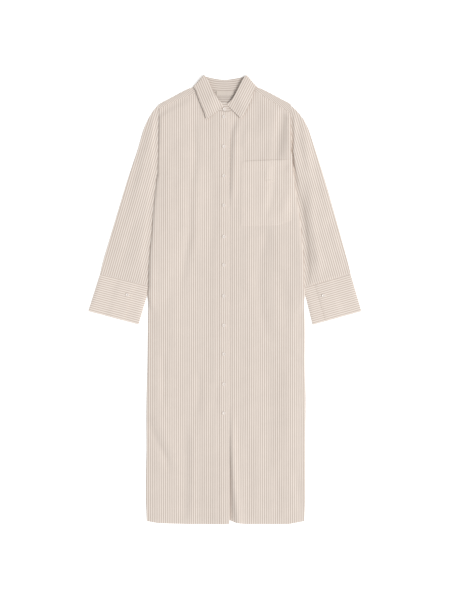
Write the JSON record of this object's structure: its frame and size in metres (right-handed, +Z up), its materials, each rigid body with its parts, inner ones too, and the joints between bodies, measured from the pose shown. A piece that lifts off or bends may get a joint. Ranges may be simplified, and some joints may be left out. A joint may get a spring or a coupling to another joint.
{
  "type": "shirt dress",
  "caption": "Long loose shirt dress in fine striped cotton, with a pointed collar, button placket, chest pocket and long cuffed sleeves, buttoned up and laid out flat.",
  "frame": {"origin": "on the surface that the dress lies on, under the middle of its outline", "axes": "+X to the wearer's left, +Y from the hem to the collar, +Z up from the surface, out of the front of the dress"},
  "size_m": [0.819, 1.3449, 0.008],
  "materials": {
    "striped_cotton": "matte",
    "label": "matte",
    "button": "gloss"
  },
  "bodies": {
    "root": {"back": "striped_cotton", "yoke": "striped_cotton", "front_right": "striped_cotton", "front_left": "striped_cotton", "placket": "striped_cotton", "collar_stand": "striped_cotton", "collar": "striped_cotton", "sleeve_right": "striped_cotton", "sleeve_left": "striped_cotton", "cuff_right": "striped_cotton", "cuff_left": "striped_cotton", "pocket": "striped_cotton", "pocket_tab": "striped_cotton", "neck_label": "label", "button_01": "button", "button_02": "button", "button_03": "button", "button_04": "button", "button_05": "button", "button_06": "button", "button_07": "button", "button_08": "button", "button_09": "button", "button_10": "button", "button_11": "button", "button_stand": "button", "button_cuff_right": "button", "button_cuff_left": "button"}
  },
  "joints": []
}
